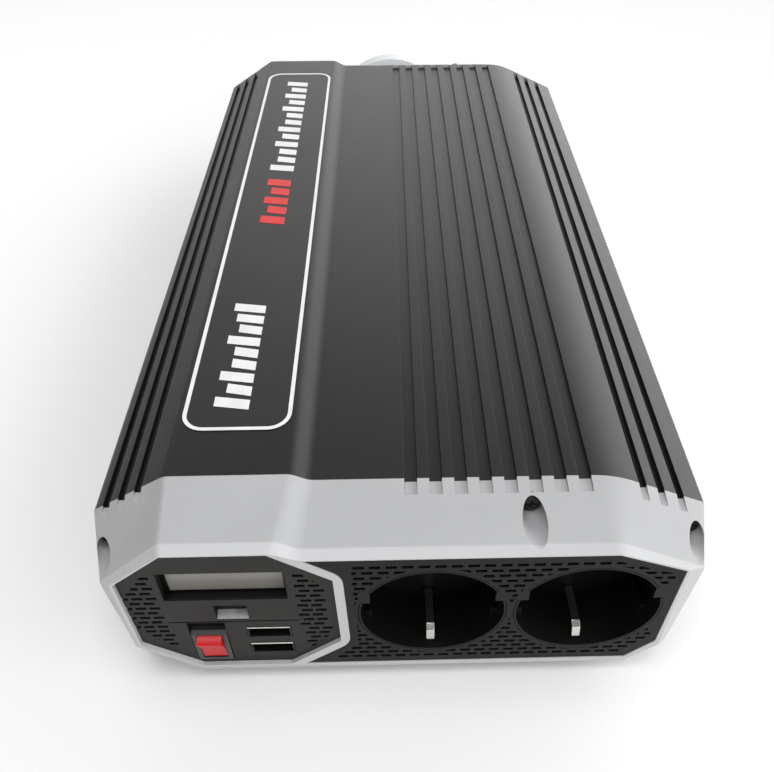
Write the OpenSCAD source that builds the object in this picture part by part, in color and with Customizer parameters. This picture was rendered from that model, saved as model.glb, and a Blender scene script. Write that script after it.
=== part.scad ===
// Battery-to-mains power inverter in a ribbed aluminium housing, with tapered plastic end caps.
// Frame: millimetres, +Z up, the control side faces -Y, origin on the table under the middle.

/* [Housing] */
// Width of the extruded housing
housing_w = 169.4; // [168:0.1:172]
// Length of the extruded housing
housing_l = 280; // [240:1:320]
// Height of the flat top above the table
top_z = 66; // [65.5:0.1:67]
// Rise of the label plateau above the flat top
plateau_rise = 2.55; // [1:0.05:3]
// Wall thickness of the extrusion
wall = 3; // [2.6:0.1:3.2]
// Height of the joint between the upper and lower shells
seam_z = 24; // [22:0.5:28]
// Height of the rubber feet
foot_h = 2; // [1:0.5:2]

/* [Cooling grooves] */
// Number of grooves along the flat top
groove_n = 8; // [4:1:8]
// Distance between neighbouring top grooves
groove_pitch = 6.65; // [6.2:0.05:6.7]
// Width of a top groove
groove_w = 3.45; // [2:0.05:3.6]
// Depth of a top groove
groove_d = 1.5; // [0.8:0.1:1.7]
// Depth of a shoulder groove
shoulder_groove_d = 2.9; // [1.5:0.1:3]

/* [End caps] */
// Depth of the front cap
cap_d = 22.2; // [21:0.1:24]
// Length of the front cap's long, shallow bevel
bevel_l = 19.2; // [18:0.1:19.5]
// Depth of the rear cap
rear_cap_d = 14; // [13:0.5:16]
// Wall thickness of both caps
cap_wall = 2.6; // [2.2:0.1:2.8]
// Depth of the control panel behind the front edge of the cap
panel_recess = 1.2; // [0.8:0.1:1.6]
// Depth of the socket panel behind the front edge of the cap
socket_recess = 0.2; // [0.1:0.1:0.6]

/* [Mains sockets] */
// Radius of a plug recess
socket_r = 19.6; // [19.5:0.05:19.8]
// Depth of a plug recess
socket_depth = 17.5; // [16:0.5:18]
// Distance from the object's middle to the left socket's centre
socket_left_x = 7.8; // [7.5:0.1:8]
// Distance from the object's middle to the right socket's centre
socket_right_x = 50.4; // [50.2:0.1:50.8]
// Height of the socket centres
socket_z = 35; // [34.5:0.1:35.3]
// Radius of a pin hole
pin_hole_r = 2.6; // [2.5:0.05:2.8]
// Distance between the two pin holes of a socket
pin_pitch = 19; // [18.8:0.1:19.2]

/* [Control panel] */
// Width of the display window
lcd_w = 33; // [31:0.5:33]
// Height of the display window
lcd_h = 12.8; // [12:0.1:13.6]
// Depth of the display window
lcd_depth = 3.2; // [3:0.1:4.4]
// Tilt of the rocker to each side of its middle position
rocker_tilt = 14; // [8:1:15]

/* [Vents] */
// Width of a vent slot
slot_w = 2.9; // [2:0.1:3]
// Height of a vent slot
slot_h = 1.2; // [0.8:0.1:1.3]
// Distance between vent slots in a row of the socket panel
vent_pitch_x = 4.2; // [4:0.05:5]
// Distance between vent rows
vent_pitch_z = 2.42; // [2.3:0.01:2.5]

/* [Fan and terminals] */
// Width of the square fan
fan_size = 50; // [48:1:50]
// Height of the fan's axis
fan_z = 33; // [32.5:0.5:33]
// Distance from the middle to each battery terminal
terminal_x = 55; // [54:0.5:57]
// Height of the battery terminals
terminal_z = 35; // [33:0.5:37]
// Radius of a battery stud
stud_r = 4; // [3:0.5:4]

/* [Hidden] */
$fn = 48;

half_w = housing_w / 2;
front_y = -171.6;
seam_front_y = front_y + cap_d;
seam_rear_y = seam_front_y + housing_l;
rear_face_y = seam_rear_y + rear_cap_d;
plateau_z = top_z + plateau_rise;
gap = 0.15;

// Corners of the housing's cross section, as [x, z]
left_shoulder_z = top_z - 11.3;
right_shoulder_z = top_z - 12.9;
lower_corner_z = 14.2;
bottom_corner_x = 62;
plateau_x0 = -62.7;
plateau_x1 = -30.4;
step_x = -23.5;
flat_x1 = 56.4;
groove_x0 = 0.6;
shoulder_groove_w = 2.3;
right_grooves_x = [65.3, 70.8, 76.8];
left_grooves_x = [-70.4, -75.5, -80.4];

// Screw positions in the end faces, as [x, z]
screw_r = 1.7;
counterbore_r = 3.15;
cap_screws = [[34, top_z - 4.5], [79, 50.6], [-79.3, 50.6]];
seat_depth = 4;
access_slopes = [14, 14, 14];
access_rs = [3.2, 2.8, 2.6];

// Printed label on the plateau
label_l = 247;
label_t = 0.25;
label_r = 6.5;

// Outlines of the front panels, as [x, z]
panel_bottom_z = 8.3;
socket_panel_top_z = 61;
control_outline = [[-74.7, 51.8], [-60.3, 64], [-34.1, 64], [-18.5, 52.2],
    [-18, 21.2], [-33.1, panel_bottom_z], [-59.2, panel_bottom_z], [-74.4, 20.7]];
ring_w = 2.9;
rim = 0.8;
rim_top = 50;
rim_y = front_y + 3 + gap;
panel_back_y = rim_y + 1.4;

// Control panel features
panel_face_y = front_y + panel_recess;
lcd_x = -47.4;
lcd_z = 48.55;
light_x = -47.05;
light_z = 35.6;
light_w = 8.9;
light_h = 7.4;
light_d = 2.5;
score_z = 31;
switch_x = -55.1;
switch_z = 17.5;
bezel_w = 10;
bezel_h = 15;
pocket_top_z = 30.5;
pocket_d = 2.4;
rocker_w = 6.8;
rocker_r = 6.1;
rocker_pivot_y = panel_face_y + 1.1;
usb_x = -37.9;
usb_z = [24.9, 16.1];
usb_w = 12.4;
usb_h = 5.6;
usb_l = 14;
control_vent_field = [[-67.4, 54.2], [-74.7, 43.4], [-74.7, 28.2], [-64.8, 16], [-26, 16], [-19.4, 24.6],
    [-19.4, 45.5], [-26.8, 54.4]];

// Socket details
socket_face_y = front_y + socket_recess;
sleeve_t = 0.6;
guide_x = 18.85;
guide_z = 5.6;
guide_h = 4.6;

// Fan
fan_t = 15;
fan_pitch = 40;
fan_y1 = rear_face_y - cap_wall - gap;
fan_y0 = fan_y1 - fan_t;
rotor_r = 22;
hub_r = 10;
cowl_r = 30.8;
cowl_t = 7;

// Battery terminals
base_t = 5;
washer_t = 1.8;
nut_t = 6.5;
stud_end_y = 171.6;
fit_gap = 0.05;
ground_x = 37;
ground_z = 13;
ground_r = 3;
ground_washer_t = 1.4;
ground_nut_t = 5;

// Circuit boards
board_t = 1.6;
board_z = foot_h + wall + 6;
board_top = board_z + board_t;
board_w = 140;
board_y0 = -120;
board_y1 = 104;

function bend(a, b, c, t, n = 6) =
    let (u = b + (a - b) * t / norm(a - b), v = b + (c - b) * t / norm(c - b))
    [for (i = [0:n]) let (s = i / n) (1 - s) * (1 - s) * u + 2 * s * (1 - s) * b + s * s * v];

function step_curve(x0, z0, x1, z1, n = 8) =
    [for (i = [0:n]) [x0 + (x1 - x0) * i / n, (z0 + z1) / 2 + (z0 - z1) / 2 * cos(180 * i / n)]];

// A rounded outline through ten corners: left edge, plateau, step, flat top, right edge, underside;
// t is how far the rounding at the end of the flat top reaches
function rounded(c, t) = concat(bend(c[9], c[0], c[1], 1.2, 3), bend(c[0], c[1], c[2], 1, 3),
    step_curve(c[2][0], c[2][1], c[3][0], c[3][1]), bend(c[3], c[4], c[5], t),
    bend(c[4], c[5], c[6], 1.2, 3), [c[6], c[7], c[8], c[9]]);

section = rounded([[-half_w, left_shoulder_z], [plateau_x0, plateau_z], [plateau_x1, plateau_z],
    [step_x, top_z], [flat_x1, top_z], [half_w, right_shoulder_z], [half_w, lower_corner_z],
    [bottom_corner_x, foot_h], [-bottom_corner_x, foot_h], [-half_w, lower_corner_z]], 6);
cavity = [[-half_w + wall, left_shoulder_z - 7], [plateau_x0 + 5, top_z - wall],
    [flat_x1 - 1, top_z - wall], [half_w - wall, right_shoulder_z - 6.2],
    [half_w - wall, lower_corner_z + 1.5],
    [bottom_corner_x - 1.5, foot_h + wall], [-bottom_corner_x + 1.5, foot_h + wall],
    [-half_w + wall, lower_corner_z + 1.5]];

// Cap outlines, with corners that match the housing's
bevel_ring = rounded([[-79.6, 49.4], [-61.2, 65.7], [-33, 65.7], [-25.5, 62.5], [55, 62.5], [79.6, 50.6],
    [77.6, 12.6], [66.5, 4], [-61, 4], [-78, 14.6]], 2.5);
front_ring = rounded([[-75.6, 52.2], [-60.6, 64.4], [-33.9, 64.6], [-25.2, socket_panel_top_z + 0.5],
    [54.8, socket_panel_top_z + 0.5], [74, 53.8], [74.4, 15], [66, 6], [-60, 6], [-75.6, 20]], 1.5);
rear_drop = 5.2;
rear_ring = rounded([[-76.5, 50], [-61.5, plateau_z - rear_drop], [-32.5, plateau_z - rear_drop],
    [-25, top_z - rear_drop], [54, top_z - rear_drop], [76.5, 50], [76.5, 16], [61, 5.5], [-61, 5.5],
    [-76.5, 16]], 6);
socket_outline = [[-27, socket_panel_top_z], [54.4, socket_panel_top_z], [73.2, 53.3], [72.9, 17.2],
    [65.4, panel_bottom_z], [-30.5, panel_bottom_z]];

// Runs a cross section given as [x, z] along Y, from y0 to y1
module along_y(y0, y1) {
    translate([0, y1, 0]) rotate([90, 0, 0]) linear_extrude(y1 - y0) children();
}

// A round rod along Y
module rod_y(x, y0, y1, z, r) {
    translate([x, y1, z]) rotate([90, 0, 0]) cylinder(h = y1 - y0, r = r);
}

// Runs a cross section given as [y, z] along X, from x0 to x1
module along_x(x0, x1) {
    translate([x0, 0, 0]) rotate([90, 0, 90]) linear_extrude(x1 - x0) children();
}

// A block from its lowest to its highest corner
module block(low, high) {
    translate(low) cube(high - low);
}

// A closed solid through rings of matching corners, each ring at its own y
module loft(rings, ys) {
    n = len(rings[0]);
    points = [for (k = [0:len(rings) - 1]) for (p = rings[k]) [p[0], ys[k], p[1]]];
    sides = [for (k = [0:len(rings) - 2]) for (i = [0:n - 1])
        each [[k * n + i, k * n + (i + 1) % n, (k + 1) * n + i],
            [k * n + (i + 1) % n, (k + 1) * n + (i + 1) % n, (k + 1) * n + i]]];
    first = [[for (i = [n - 1:-1:0]) i]];
    last = [[for (i = [0:n - 1]) (len(rings) - 1) * n + i]];
    polyhedron(points, concat(sides, first, last));
}

// A cap outline drawn in by the wall thickness
function inset_ring(ring) = let (k = 1 - cap_wall / half_w, kz = 1 - cap_wall / 32)
    [for (p = ring) [p[0] * k, 34 + (p[1] - 34) * kz]];

// The control panel's outline, grown about its centre
function control_shape(grow) = let (centre = [-46.4, 36])
    [for (p = control_outline) centre + (p - centre) * (1 + grow / 28)];

// The same outline with its two corners next to the sockets rounded
function ring_shape(grow) = let (q = control_shape(grow))
    concat([q[0], q[1], q[2]], bend(q[2], q[3], q[4], 3.5), bend(q[3], q[4], q[5], 3.5), [q[5], q[6], q[7]]);

module socket_area(grow = 0) {
    centre = [21, 34.6];
    k = [1 + grow / 50, 1 + grow / 26.4];
    difference() {
        polygon([for (p = socket_outline) [for (a = [0, 1]) centre[a] + (p[a] - centre[a]) * k[a]]]);
        polygon(ring_shape(ring_w - grow));
    }
}

module top_grooves() {
    for (i = [0:groove_n - 1])
        translate([groove_x0 + i * groove_pitch, top_z - groove_d]) square([groove_w, 10]);
}

// Shoulder grooves are cut straight down to follow the slope of the shoulder
module shoulder_grooves(depth) {
    slope_r = (top_z - right_shoulder_z) / (half_w - flat_x1);
    slope_l = (plateau_z - left_shoulder_z) / (half_w + plateau_x0);
    for (x = right_grooves_x)
        translate([x - shoulder_groove_w / 2, top_z - (x - flat_x1) * slope_r - depth])
            square([shoulder_groove_w, 20]);
    for (x = left_grooves_x)
        translate([x - shoulder_groove_w / 2, plateau_z - (plateau_x0 - x) * slope_l - depth])
            square([shoulder_groove_w, 20]);
}

module housing_body() {
    difference() {
        union() {
            along_y(seam_front_y, seam_rear_y) difference() {
                polygon(section);
                polygon(cavity);
            }
            for (p = cap_screws) rod_y(p[0], seam_front_y, seam_rear_y, p[1], 3.2);
        }
        for (p = cap_screws) rod_y(p[0], seam_front_y - 1, seam_rear_y + 1, p[1], screw_r - 0.1);
        along_y(seam_front_y - 1, seam_rear_y + 1) {
            top_grooves();
            shoulder_grooves(shoulder_groove_d);
        }
    }
}

module top_housing() {
    color([0.04, 0.04, 0.045]) intersection() {
        housing_body();
        block([-100, seam_front_y - 1, seam_z], [100, seam_rear_y + 1, 100]);
    }
}

// The lower shell's side walls carry a lip that slides up behind the upper shell
module bottom_housing() {
    inner_x = half_w - wall;
    color([0.05, 0.05, 0.055]) {
        intersection() {
            housing_body();
            block([-100, seam_front_y - 1, 0], [100, seam_rear_y + 1, seam_z - gap]);
        }
        for (side = [-1, 1]) {
            block([side * (inner_x - 1.1) - 0.9, seam_front_y, seam_z - 6],
                [side * (inner_x - 1.1) + 0.9, seam_rear_y, seam_z + 5]);
            block([side * inner_x - 1, seam_front_y, seam_z - 6],
                [side * inner_x + 1, seam_rear_y, seam_z - 2]);
        }
    }
}

// Grooves of the housing, carried on into the first part of the cap
module cap_grooves() {
    along_y(seam_front_y - 4.8, seam_front_y + 1) {
        top_grooves();
        shoulder_grooves(1.6);
    }
}

// A rod from a front screw's seat that rises toward the front, for its screwdriver access
module access_rod(i, grow) {
    translate([cap_screws[i][0], seam_front_y - seat_depth - 1, cap_screws[i][1]])
        rotate([90 - access_slopes[i], 0, 0]) cylinder(h = 24, r = access_rs[i] + grow);
}

module front_cap() {
    ys = [seam_front_y, seam_front_y - bevel_l, front_y];
    seat_y = seam_front_y - seat_depth;
    color([0.78, 0.79, 0.8]) difference() {
        union() {
            difference() {
                loft([section, bevel_ring, front_ring], ys);
                loft([inset_ring(section), inset_ring(bevel_ring)], [seam_front_y + 1, front_y + 3]);
            }
            intersection() {
                loft([section, bevel_ring, front_ring], ys);
                for (i = [0:2]) {
                    rod_y(cap_screws[i][0], seat_y - 4, seam_front_y, cap_screws[i][1], counterbore_r + 1.4);
                    access_rod(i, 1.2);
                }
            }
        }
        along_y(front_y - 1, front_y + 5) polygon(control_shape(gap));
        along_y(front_y - 1, front_y + 5) socket_area(gap);
        along_y(front_y + 3, front_y + 5) panel_rim(rim_top + gap) polygon(control_shape(rim + gap));
        along_y(front_y + 3, front_y + 5) panel_rim(rim_top + gap) socket_area(rim + gap);
        cap_grooves();
        for (i = [0:2]) {
            access_rod(i, 0);
            rod_y(cap_screws[i][0], seat_y - 2.2, seat_y, cap_screws[i][1], counterbore_r - 0.1);
            rod_y(cap_screws[i][0], seat_y - 3, seam_front_y + 1, cap_screws[i][1], screw_r + 0.2);
        }
    }
}

// A panel's rim behind the front edge of the cap, left off along the top where the cap is thin
module panel_rim(top) {
    intersection() {
        children();
        translate([-100, 0]) square([200, top]);
    }
}

module rear_cap() {
    inner_y = rear_face_y - cap_wall;
    color([0.74, 0.75, 0.76]) difference() {
        union() {
            difference() {
                loft([rear_ring, section], [rear_face_y, seam_rear_y]);
                loft([inset_ring(rear_ring), inset_ring(section)], [inner_y, seam_rear_y - 1]);
            }
            intersection() {
                loft([rear_ring, section], [rear_face_y, seam_rear_y]);
                for (p = cap_screws) rod_y(p[0], seam_rear_y, rear_face_y, p[1], counterbore_r + 1.4);
            }
        }
        rod_y(0, inner_y - 1, rear_face_y + 1, fan_z, rotor_r + 1);
        at_fan_corners() rod_y(0, inner_y - 1, rear_face_y + 1, 0, screw_r);
        for (side = [-1, 1])
            rod_y(side * terminal_x, inner_y - 1, rear_face_y + 1, terminal_z, stud_r + 3);
        rod_y(ground_x, inner_y - 1, rear_face_y + 1, ground_z, ground_r + gap);
        for (p = cap_screws) {
            rod_y(p[0], seam_rear_y + seat_depth, rear_face_y + 1, p[1], counterbore_r);
            rod_y(p[0], seam_rear_y - 1, rear_face_y + 1, p[1], screw_r + 0.2);
        }
    }
}

module label_plate() {
    low = [plateau_x0 + 1.1, seam_front_y + 16];
    high = [plateau_x1 - 0.3, seam_front_y + 16 + label_l];
    color([0.05, 0.05, 0.055]) translate([0, 0, plateau_z]) linear_extrude(label_t) {
        translate(low + [label_r, 0]) square(high - low - [2 * label_r, 0]);
        translate(low + [0, label_r]) square(high - low - [0, 2 * label_r]);
        for (x = [low[0] + label_r, high[0] - label_r]) for (y = [low[1] + label_r, high[1] - label_r])
            translate([x, y]) circle(r = label_r);
    }
}

// Vent slots in staggered rows between two corners given as [x, z]
module vent_slots(low, high, pitch_x, pitch_z) {
    rows = floor((high[1] - low[1]) / pitch_z);
    for (row = [0:rows]) {
        start = low[0] + (row % 2) * pitch_x / 2;
        for (column = [0:floor((high[0] - start) / pitch_x)])
            translate([start + column * pitch_x - slot_w / 2, high[1] - row * pitch_z - slot_h / 2])
                square([slot_w, slot_h]);
    }
}

// Two groups of slots, one at each side of the display, staggered from row to row
module control_vents() {
    pitch = 3.75;
    intersection() {
        for (row = [0:15]) {
            z = 53.1 - row * vent_pitch_z - slot_h / 2;
            inner = 1.1 * (row % 2);
            low_shift = row > 10 ? 1.1 : 0;
            for (column = [0:2 - row % 2])
                translate([low_shift - 65.6 - inner - column * pitch - slot_w, z]) square([slot_w, slot_h]);
            for (column = [0:1])
                translate([low_shift - 28.8 + inner + column * pitch, z]) square([slot_w, slot_h]);
        }
        polygon(control_vent_field);
    }
}

module control_panel() {
    lcd_low = [lcd_x - lcd_w / 2, lcd_z - lcd_h / 2];
    light_low = [light_x - light_w / 2, light_z - light_h / 2];
    color([0.16, 0.155, 0.15]) difference() {
        union() {
            along_y(panel_face_y, panel_back_y) polygon(control_shape(0));
            along_y(rim_y, panel_back_y) panel_rim(rim_top) polygon(control_shape(rim));
            along_y(panel_back_y - 1, panel_face_y + lcd_depth + 1)
                translate(lcd_low - [1.5, 1.5]) square([lcd_w + 3, lcd_h + 3]);
        }
        along_y(panel_face_y - 1, panel_face_y + lcd_depth) translate(lcd_low) square([lcd_w, lcd_h]);
        along_y(panel_face_y + lcd_depth - 1, panel_face_y + lcd_depth + 2)
            translate(lcd_low - [0.4, 0.4]) square([lcd_w + 0.8, lcd_h + 0.8]);
        along_y(panel_face_y - 1, panel_face_y + light_d) translate(light_low) square([light_w, light_h]);
        block([-65, panel_face_y - 1, score_z - 0.25], [-29, panel_face_y + 0.35, score_z + 0.25]);
        block([switch_x - bezel_w / 2 - 0.25, panel_face_y - 1, switch_z - bezel_h / 2 - 0.2],
            [switch_x + bezel_w / 2 + 0.25, panel_face_y + pocket_d, pocket_top_z]);
        block([switch_x - 4.75, panel_face_y, switch_z - 6.9],
            [switch_x + 4.75, panel_back_y + 1, switch_z + 6.9]);
        for (z = usb_z) block([usb_x - usb_w / 2 - gap, panel_face_y - 1, z - usb_h / 2 - gap],
            [usb_x + usb_w / 2 + gap, panel_back_y + 1, z + usb_h / 2 + gap]);
        along_y(panel_face_y - 1, panel_back_y + 1) control_vents();
    }
}

// A plug recess seen from the front, narrowed by guide blocks at both sides
module recess_shape(r, lower_blocks) {
    difference() {
        circle(r = r, $fn = 72);
        for (side = [-1, 1]) {
            translate([side * guide_x - 2, guide_z]) square([4, guide_h]);
            if (lower_blocks) translate([side * guide_x - 2, -guide_z - guide_h]) square([4, guide_h]);
        }
    }
}

module socket_vents() {
    difference() {
        intersection() {
            vent_slots([-19.95, 11.4], [71.3, 57.5], vent_pitch_x, vent_pitch_z);
            socket_area(-2.1);
        }
        for (x = [socket_left_x, socket_right_x]) translate([x, socket_z]) circle(r = socket_r + 1.9);
        translate([-40, 17]) square([26.6, 50]);
        translate([socket_right_x + 17, 25]) square([20, 22]);
    }
}

module socket_panel() {
    color([0.17, 0.165, 0.16]) difference() {
        union() {
            along_y(socket_face_y, panel_back_y) socket_area(0);
            along_y(rim_y, panel_back_y) difference() {
                panel_rim(rim_top) socket_area(rim);
                polygon(control_shape(rim + 0.4));
            }
        }
        for (x = [socket_left_x, socket_right_x]) along_y(socket_face_y - 1, panel_back_y + 1)
            translate([x, socket_z]) recess_shape(socket_r + sleeve_t + gap, false);
        along_y(socket_face_y - 1, panel_back_y + 1) socket_vents();
    }
}

// A cup behind the panel, with a thin sleeve that lines the panel's hole up to its face
module socket_insert(x) {
    floor_y = socket_face_y + socket_depth;
    color([0.03, 0.03, 0.032]) difference() {
        union() {
            rod_y(x, panel_back_y, floor_y + 3, socket_z, socket_r + 1.5);
            difference() {
                rod_y(x, socket_face_y, panel_back_y + 1, socket_z, socket_r + sleeve_t);
                for (side = [-1, 1])
                    block([x + side * guide_x - 3, socket_face_y - 1, socket_z + guide_z - gap],
                        [x + side * guide_x + 3, panel_back_y, socket_z + guide_z + guide_h + gap]);
            }
        }
        rod_y(x, socket_face_y - 1, panel_back_y, socket_z, socket_r);
        along_y(panel_back_y - 1, floor_y) translate([x, socket_z]) recess_shape(socket_r, true);
        for (side = [-1, 1])
            rod_y(x + side * pin_pitch / 2, floor_y - 1, floor_y + 4, socket_z, pin_hole_r);
        for (side = [-1, 1]) block([x - 1.8, floor_y - 1, socket_z + side * 15.6 - 0.7],
            [x + 1.8, floor_y + 4, socket_z + side * 15.6 + 0.7]);
    }
}

module left_socket_insert() {
    socket_insert(socket_left_x);
}

module right_socket_insert() {
    socket_insert(socket_right_x);
}

// A sprung earth strip: it rises from the recess wall and runs back through the floor
module earth_clip() {
    tail_d = socket_depth + 5;
    top = [[2.4, -18.9], [3.6, -16], [5.4, -14.9], [8, -14.9], [12, -15.3], [tail_d, -15.3]];
    bottom = [for (i = [len(top) - 1:-1:0]) top[i] - [i < 2 ? -0.6 : 0, i < 2 ? 0 : 0.6]];
    translate([1.2, socket_face_y, 0]) rotate([90, 0, -90]) linear_extrude(2.4)
        polygon([for (p = concat(top, bottom)) [-p[0], p[1]]]);
}

module earth_clips() {
    color([0.85, 0.85, 0.83]) for (x = [socket_left_x, socket_right_x]) translate([x, 0, socket_z]) {
        earth_clip();
        mirror([0, 0, 1]) earth_clip();
    }
}

module pin_contacts() {
    y0 = socket_face_y + socket_depth + 3 + gap;
    color([0.8, 0.65, 0.3]) for (x = [socket_left_x, socket_right_x]) for (side = [-1, 1])
        difference() {
            union() {
                rod_y(x + side * pin_pitch / 2, y0, y0 + 9, socket_z, pin_hole_r + 1.4);
                block([x + side * pin_pitch / 2 - 2, y0 + 7, socket_z - 8],
                    [x + side * pin_pitch / 2 + 2, y0 + 8, socket_z]);
            }
            rod_y(x + side * pin_pitch / 2, y0 - 1, y0 + 6.5, socket_z, pin_hole_r + 0.5);
        }
}

module lcd_window() {
    y = panel_face_y + lcd_depth;
    color([0.75, 0.78, 0.76, 0.5]) block([lcd_x - lcd_w / 2 - 0.3, y, lcd_z - lcd_h / 2 - 0.3],
        [lcd_x + lcd_w / 2 + 0.3, y + 1, lcd_z + lcd_h / 2 + 0.3]);
}

module lcd_module() {
    y = panel_face_y + lcd_depth + 1 + gap;
    color([0.55, 0.56, 0.53]) {
        block([lcd_x - lcd_w / 2 - 1, y, lcd_z - lcd_h / 2 - 1],
            [lcd_x + lcd_w / 2 + 1, y + 2.4, lcd_z + lcd_h / 2 + 1]);
        for (i = [-6:6]) block([lcd_x + i * 2.4 - 0.3, y + 1, lcd_z - lcd_h / 2 - 3],
            [lcd_x + i * 2.4 + 0.3, y + 1.6, lcd_z - lcd_h / 2 - 0.9]);
    }
}

module status_light_pipe() {
    low_z = light_z - light_h / 2 + 0.05;
    color([0.85, 0.86, 0.86, 0.8]) along_x(light_x - light_w / 2 + 0.1, light_x + light_w / 2 - 0.1)
        polygon([[panel_face_y + 0.2, low_z], [panel_face_y + light_d - 0.05, low_z],
            [panel_face_y + light_d - 0.05, low_z + 1.5], [panel_face_y + 0.2, low_z + 0.7]]);
}

module switch_bezel() {
    face_y = panel_face_y - 0.2;
    opening_h = rocker_r + 0.3;
    color([0.2, 0.2, 0.2]) difference() {
        union() {
            along_x(switch_x - bezel_w / 2, switch_x + bezel_w / 2) polygon([
                [face_y, switch_z - bezel_h / 2], [face_y, switch_z + bezel_h / 2 - 1.1],
                [face_y + 1.1, switch_z + bezel_h / 2], [panel_face_y + pocket_d, switch_z + bezel_h / 2],
                [panel_face_y + pocket_d, switch_z - bezel_h / 2]]);
            block([switch_x - 4.6, panel_face_y + pocket_d - 1, switch_z - 6.75],
                [switch_x + 4.6, face_y + 13, switch_z + 6.75]);
        }
        block([switch_x - rocker_w / 2 - 0.2, face_y - 1, switch_z - opening_h],
            [switch_x + rocker_w / 2 + 0.2, face_y + 7, switch_z + opening_h]);
        along_x(switch_x - rocker_w / 2 - 0.75, switch_x + rocker_w / 2 + 0.75)
            translate([rocker_pivot_y, switch_z]) circle(r = 1.2);
    }
}

// The rocker leans out at its upper end, and its front is a shallow valley over the pivot
module power_rocker() {
    front = 2.4;
    corner_a = acos(front / rocker_r);
    back_a = 104;
    half = [for (i = [0:6]) let (a = corner_a + (back_a - corner_a) * i / 6)
        [-rocker_r * cos(a), rocker_r * sin(a)]];
    other_half = [for (i = [6:-1:0]) [half[i][0], -half[i][1]]];
    color([0.85, 0.08, 0.08]) translate([0, rocker_pivot_y, switch_z]) rotate([rocker_tilt, 0, 0]) {
        along_x(switch_x - rocker_w / 2, switch_x + rocker_w / 2)
            polygon(concat([[-1.5, 0]], half, [[3, 3], [3, -3]], other_half));
        along_x(switch_x - rocker_w / 2 - 0.6, switch_x + rocker_w / 2 + 0.6) circle(r = 1.15);
    }
}

module switch_terminals() {
    y = panel_face_y - 0.2 + 13 + gap / 2;
    color([0.85, 0.85, 0.85]) for (z = [-4, 0, 4])
        block([switch_x - 2.4, y, switch_z + z - 0.4], [switch_x + 2.4, y + 5.5, switch_z + z + 0.4]);
}

module usb_shells() {
    y0 = panel_face_y - 0.1;
    color([0.8, 0.8, 0.82]) for (z = usb_z) difference() {
        block([usb_x - usb_w / 2, y0, z - usb_h / 2], [usb_x + usb_w / 2, y0 + usb_l, z + usb_h / 2]);
        block([usb_x - usb_w / 2 + 0.4, y0 - 1, z - usb_h / 2 + 0.4],
            [usb_x + usb_w / 2 - 0.4, y0 + usb_l - 1, z + usb_h / 2 - 0.4]);
    }
}

module usb_tongues() {
    y0 = panel_face_y - 0.1;
    color([0.1, 0.1, 0.1]) for (z = usb_z)
        block([usb_x - 5.6, y0 + 1.5, z + 0.1], [usb_x + 5.6, y0 + usb_l - 1, z + 1.9]);
}

module usb_board() {
    y = panel_face_y - 0.1 + usb_l + gap;
    color([0.05, 0.3, 0.12]) block([usb_x - 8, y, 10], [usb_x + 8, y + board_t, 29]);
}

module control_board() {
    y = seam_front_y + 1;
    color([0.05, 0.3, 0.12]) {
        block([-70, y, 20], [-24, y + board_t, 53]);
        block([-60, y + board_t, 30], [-50, y + board_t + 1.8, 40]);
        block([-44, y + board_t, 26], [-30, y + board_t + 5, 32]);
    }
}

// A machine screw along Y with a round head; toward is +1 when its tip points to +Y
module screw_y(x, z, head_y, length, toward, r = screw_r, head_r = 2.9) {
    difference() {
        union() {
            for (part = [[2, head_r], [length, r]]) {
                tip_y = head_y + toward * part[0];
                rod_y(x, min(head_y, tip_y), max(head_y, tip_y), z, part[1]);
            }
        }
        for (a = [0, 90]) translate([x, head_y, z]) rotate([0, a, 0])
            cube([0.9, 1.8, 3.6], center = true);
    }
}

module front_cap_screws() {
    color([0.2, 0.2, 0.2]) for (p = cap_screws)
        screw_y(p[0], p[1], seam_front_y - seat_depth - 2, 16, 1, screw_r - 0.1, 2.7);
}

module rear_cap_screws() {
    color([0.2, 0.2, 0.2]) for (p = cap_screws)
        screw_y(p[0], p[1], seam_rear_y + seat_depth + 2, 16, -1, screw_r - 0.1);
}

module fan_frame() {
    color([0.06, 0.06, 0.06]) difference() {
        block([-fan_size / 2, fan_y0, fan_z - fan_size / 2], [fan_size / 2, fan_y1, fan_z + fan_size / 2]);
        rod_y(0, fan_y0 - 1, fan_y1 + 1, fan_z, rotor_r + 1.6);
        at_fan_corners() rod_y(0, fan_y0 - 1, fan_y1 + 1, 0, screw_r + 0.3);
    }
    color([0.06, 0.06, 0.06]) intersection() {
        translate([0, 0, fan_z]) for (a = [20:90:290]) rotate([0, a, 0])
            block([hub_r, fan_y0, -2], [fan_size / 2 - 0.5, fan_y0 + 2, 2]);
        rod_y(0, fan_y0, fan_y0 + 2, fan_z, rotor_r + 2);
    }
}

module fan_stator() {
    color([0.5, 0.35, 0.2]) difference() {
        union() {
            rod_y(0, fan_y0, fan_y0 + 2.5, fan_z, hub_r);
            rod_y(0, fan_y0, fan_y0 + 9, fan_z, 3.5);
            for (a = [0:60:300]) translate([0, 0, fan_z]) rotate([0, a, 0])
                block([3, fan_y0 + 4, -1.6], [7.6, fan_y0 + 8.5, 1.6]);
        }
        rod_y(0, fan_y0 - 1, fan_y0 + 10, fan_z, 1.55);
    }
}

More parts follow.
